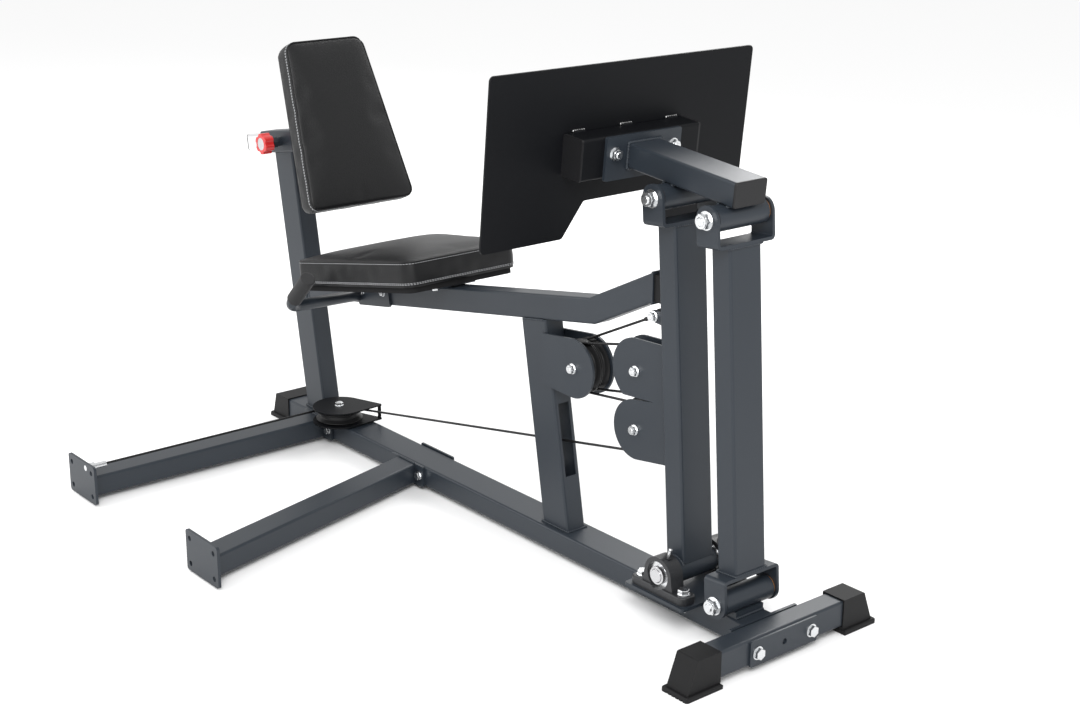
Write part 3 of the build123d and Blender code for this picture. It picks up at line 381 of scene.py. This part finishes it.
def pad(name, node, body, place, shape, height, crown, pressure):
    """An upholstered pad: a crowned panel over a side band, puffed by a cloth simulation.

    place maps (along, across, up) in millimetres to the row frame; shape is the pad's length
    and its half widths at both ends.  Returns its rings of points, from the seam down."""
    length, half_low, half_high = shape
    cells, corner = PANEL_CELLS, PAD_CORNER

    def spot(i, j):
        """Grid point i, j of the panel, along and across, with the corners rounded."""
        share = i / cells
        along = share * length
        half = half_low + (half_high - half_low) * share
        sideways = (j / cells * 2 - 1) * half
        near_end = min(along, length - along)
        near_side = half - abs(sideways)
        if near_end < corner and near_side < corner:
            p, q = 1 - near_end / corner, 1 - near_side / corner
            p, q = p * math.sqrt(1 - q * q / 2), q * math.sqrt(1 - p * p / 2)
            edge_end, edge_side = corner * (1 - p), corner * (1 - q)
            along = edge_end if along < length / 2 else length - edge_end
            sideways = math.copysign(half - edge_side, sideways)
        return along, sideways

    verts, index = [], {}
    for i in range(cells + 1):
        for j in range(cells + 1):
            s, t = i / cells * 2 - 1, j / cells * 2 - 1
            dome = (1 - s ** 4) * (1 - t ** 4)
            index[i, j] = len(verts)
            verts.append(place(*spot(i, j), height + crown * dome ** 0.6))
    faces = [(index[i, j], index[i + 1, j], index[i + 1, j + 1], index[i, j + 1])
             for i in range(cells) for j in range(cells)]
    rim = [(i, 0) for i in range(cells)] + [(cells, j) for j in range(cells)]
    rim += [(i, cells) for i in range(cells, 0, -1)] + [(0, j) for j in range(cells, 0, -1)]
    rings = [[index[k] for k in rim]]
    for level in range(1, BAND_ROWS + 1):
        share = level / BAND_ROWS
        bulge = BAND_BULGE * math.sin(math.pi * share)
        row = []
        for i, j in rim:
            along, sideways = spot(i, j)
            row.append(len(verts))
            verts.append(place(along + bulge * (along - length / 2) / length * 2,
                               sideways + bulge * sideways / half_low, height * (1 - share)))
        rings.append(row)
    for upper, lower in zip(rings, rings[1:]):
        for k in range(len(rim)):
            nxt = (k + 1) % len(rim)
            faces.append((upper[k], lower[k], lower[nxt], upper[nxt]))
    faces.append(tuple(rings[-1]))
    obj = add_mesh(name, verts, faces, MATS["vinyl"])
    bm = bmesh.new()
    bm.from_mesh(obj.data)
    bmesh.ops.recalc_face_normals(bm, faces=bm.faces)
    bm.to_mesh(obj.data)
    bm.free()
    puff(obj, rings[0], rings[-1], pressure)
    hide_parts(node)
    lines = [[obj.data.vertices[k].co.copy() for k in row] for row in rings]
    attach(obj, body)
    return lines


STITCH_LIFT = 0.0006            # metres, as are the other sizes of a stitch
STITCH_PITCH = 0.0062
STITCH_HALF = 0.00055
BRICK = ((0, 1, 2, 3), (7, 6, 5, 4), (0, 4, 5, 1), (1, 5, 6, 2), (2, 6, 7, 3), (3, 7, 4, 0))


def stitches(name, body, line, centre):
    """Separate stitches along a closed line, standing just off the cover."""
    points = [Vector(p) for p in line] + [Vector(line[0])]
    verts, faces = [], []
    left = 0.0
    for a, b in zip(points, points[1:]):
        span = (b - a).length
        if span < 1e-6:
            continue
        way = (b - a) / span
        pos = left
        while pos < span:
            mid = a + way * pos
            out = mid - centre
            out = (out - way * out.dot(way)).normalized()
            mid += out * STITCH_LIFT
            side = way.cross(out)
            base = len(verts)
            for end in (-1, 1):
                for u, v in ((-1, -0.6), (1, -0.6), (1, 0.6), (-1, 0.6)):
                    verts.append(mid + way * STITCH_PITCH * 0.33 * end
                                 + side * STITCH_HALF * u + out * STITCH_HALF * v)
            faces += [tuple(base + corner for corner in face) for face in BRICK]
            pos += STITCH_PITCH
        left = pos - span
    obj = add_mesh(name, verts, faces, thread_mat, smooth=False)
    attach(obj, body)


def piping(name, body, line, radius, sides=8):
    """The raised seam round a pad's panel."""
    points = [Vector(p) for p in line]
    verts = []
    for i, p in enumerate(points):
        way = (points[(i + 1) % len(points)] - points[i - 1]).normalized()
        side = way.orthogonal().normalized()
        verts += circle(p, side, way.cross(side), radius, sides)
    obj = add_mesh(name, verts, skin(len(points), sides, closed=True), MATS["vinyl"])
    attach(obj, body)


def mix(row_a, row_b, share):
    """A line of points between two of a pad's rings."""
    return [a.lerp(b, share) for a, b in zip(row_a, row_b)]


seat_turn = Matrix.Rotation(math.radians(-SEAT_TILT), 3, "Y")
seat_base = under_seat(SEAT_REAR, 0, 0) + seat_turn @ Vector((0, 0, SEAT_LIFT))
back_turn = Matrix.Rotation(math.atan2(*BACK_RUN), 3, "Y")
back_base = at(BACK_LOW[0], 0, BACK_LOW[1])


def seat_place(along, sideways, up):
    return seat_base + seat_turn @ Vector((along, sideways, up)) / 1000


def back_place(along, sideways, up):
    return back_base + back_turn @ Vector((up - BACK_FOAM, sideways, along)) / 1000


seat_rows = pad("seat pad", "seat_cushion", "frame", seat_place,
                (SEAT_LENGTH / SEAT_COSINE, *SEAT_HALVES), height=51, crown=14, pressure=0.9)
back_rows = pad("back pad", "back_cushion", "back_rest", back_place,
                (math.hypot(*BACK_RUN), *BACK_HALVES), height=40, crown=8, pressure=0.7)
seat_mid, back_mid = seat_place(171, 0, 25), back_place(182, 0, 20)
stitches("seat top stitch", "frame", mix(seat_rows[0], seat_rows[1], 0.6), seat_mid)
for label, share in (("upper", 0.25), ("lower", 0.75)):
    stitches(f"seat stitch {label}", "frame", mix(seat_rows[8], seat_rows[9], share), seat_mid)
    stitches(f"back stitch {label}", "back_rest",
             mix(back_rows[1], back_rows[2], share), back_mid)
piping("seat seam", "frame", seat_rows[0], 0.0016)
piping("back seam", "back_rest", back_rows[0], 0.0014)


# ---- cable ---------------------------------------------------------------------------------
def touch(circle_a, circle_b, side_a, side_b):
    """Touch points of a cable between two circles (x, z, r), above (+1) or below (-1) them."""
    (xa, za, ra), (xb, zb, rb) = circle_a, circle_b
    dx, dz = xb - xa, zb - za
    gap, base = math.hypot(dx, dz), math.atan2(dz, dx)
    turn = math.asin((side_b * rb - side_a * ra) / gap)
    angle = base + turn if dx > 0 else base - turn
    nx, nz = -math.sin(angle), math.cos(angle)
    if nz < 0:
        nx, nz = -nx, -nz
    return ((xa + side_a * ra * nx, za + side_a * ra * nz),
            (xb + side_b * rb * nx, zb + side_b * rb * nz))


FRONT, UPPER, LOWER = (-535, 398, GROOVE), (-374, 433, GROOVE), (-373, 320, GROOVE)
ANCHOR, REAR = (-336, 545, 0), (-1352, 76.5, 0)     # the arm's eye, and the rear pulley's rim
FAR, NEAR, REAR_RIM = FRONT_SPREAD, -FRONT_SPREAD, 21   # where a run is across the station
RUN_STEP = 0.003
RUN_SIDES = 14

# both ends, the sides of the circles that a run touches, where its ends are across the
# station, and whether it starts on the arm
RUNS = ((ANCHOR, FRONT, (-1, 1), (0, FAR), True),
        (FRONT, UPPER, (-1, -1), (FAR, 0), False),
        (UPPER, FRONT, (1, 1), (0, NEAR), True),
        (FRONT, LOWER, (-1, 1), (NEAR, 0), False),
        (LOWER, REAR, (-1, 1), (0, REAR_RIM), True))
for number, (first, second, sides, ys, starts_on_arm) in enumerate(RUNS, 1):
    a, b = touch(first, second, *sides)
    start, end = at(a[0], ys[0], a[1]), at(b[0], ys[1], b[1])
    way = (end - start).normalized()
    side = way.cross(Vector((0, 0, 1))).normalized()
    up = side.cross(way)
    steps = int((end - start).length / RUN_STEP)
    verts = []
    for i in range(steps + 1):
        verts += circle(start.lerp(end, i / steps), side, up, CABLE_RADIUS, RUN_SIDES)
    run = add_mesh(f"cable run {number}", verts, skin(steps + 1, RUN_SIDES), MATS["cable"])
    if number == 1:
        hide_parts("cable_runs")
    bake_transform(run)

# ---- floor, light, camera ------------------------------------------------------------------
FLOOR_HALF = 60
floor = add_mesh("floor", [(-FLOOR_HALF, -FLOOR_HALF, 0), (FLOOR_HALF, -FLOOR_HALF, 0),
                           (FLOOR_HALF, FLOOR_HALF, 0), (-FLOOR_HALF, FLOOR_HALF, 0)],
                 [(0, 1, 2, 3)], material("floor white", (0.93, 0.93, 0.93), 0.9, shine=0.0))

world = bpy.context.scene.world or bpy.data.worlds.new("world")
bpy.context.scene.world = world
world.use_nodes = True
background = world.node_tree.nodes["Background"]
background.inputs["Color"].default_value = (1, 1, 1, 1)
background.inputs["Strength"].default_value = 1.0


def area_light(name, spot, aim, size, power):
    data = bpy.data.lights.new(name, "AREA")
    data.shape = "DISK"
    data.size = size
    data.energy = power
    light = bpy.data.objects.new(name, data)
    light.location = spot
    light.rotation_euler = (Vector(aim) - Vector(spot)).to_track_quat("-Z", "Y").to_euler()
    bpy.context.scene.collection.objects.link(light)


area_light("key", (3.0, -2.2, 3.4), (0, 0, 0.4), size=2.4, power=150)
area_light("fill", (-2.6, -2.8, 2.2), (0, 0, 0.5), size=2.6, power=55)
area_light("back", (-1.4, 3.2, 2.8), (0, 0, 0.5), size=2.0, power=70)

CAMERA_SPOT = (1837.8, -2065.4, 1446.9)
YAW, PITCH, ROLL = math.radians(39.614), math.radians(17.577), math.radians(0.371)
data = bpy.data.cameras.new("camera")
data.lens = 58.41
data.sensor_width = 36
data.shift_x = -0.0023
data.shift_y = -0.0195
camera = bpy.data.objects.new("camera", data)
bpy.context.scene.collection.objects.link(camera)
look = Vector((-math.cos(YAW) * math.cos(PITCH), math.sin(YAW) * math.cos(PITCH),
               -math.sin(PITCH)))
right = Vector((math.sin(YAW), math.cos(YAW), 0))
up = right.cross(look)
right, up = (right * math.cos(ROLL) + up * math.sin(ROLL),
             up * math.cos(ROLL) - right * math.sin(ROLL))
turn = Matrix((right, up, -look)).transposed()
camera.matrix_world = Matrix.Translation(at(*CAMERA_SPOT)) @ turn.to_4x4()
bpy.context.scene.camera = camera
bpy.context.scene.view_settings.view_transform = "Standard"
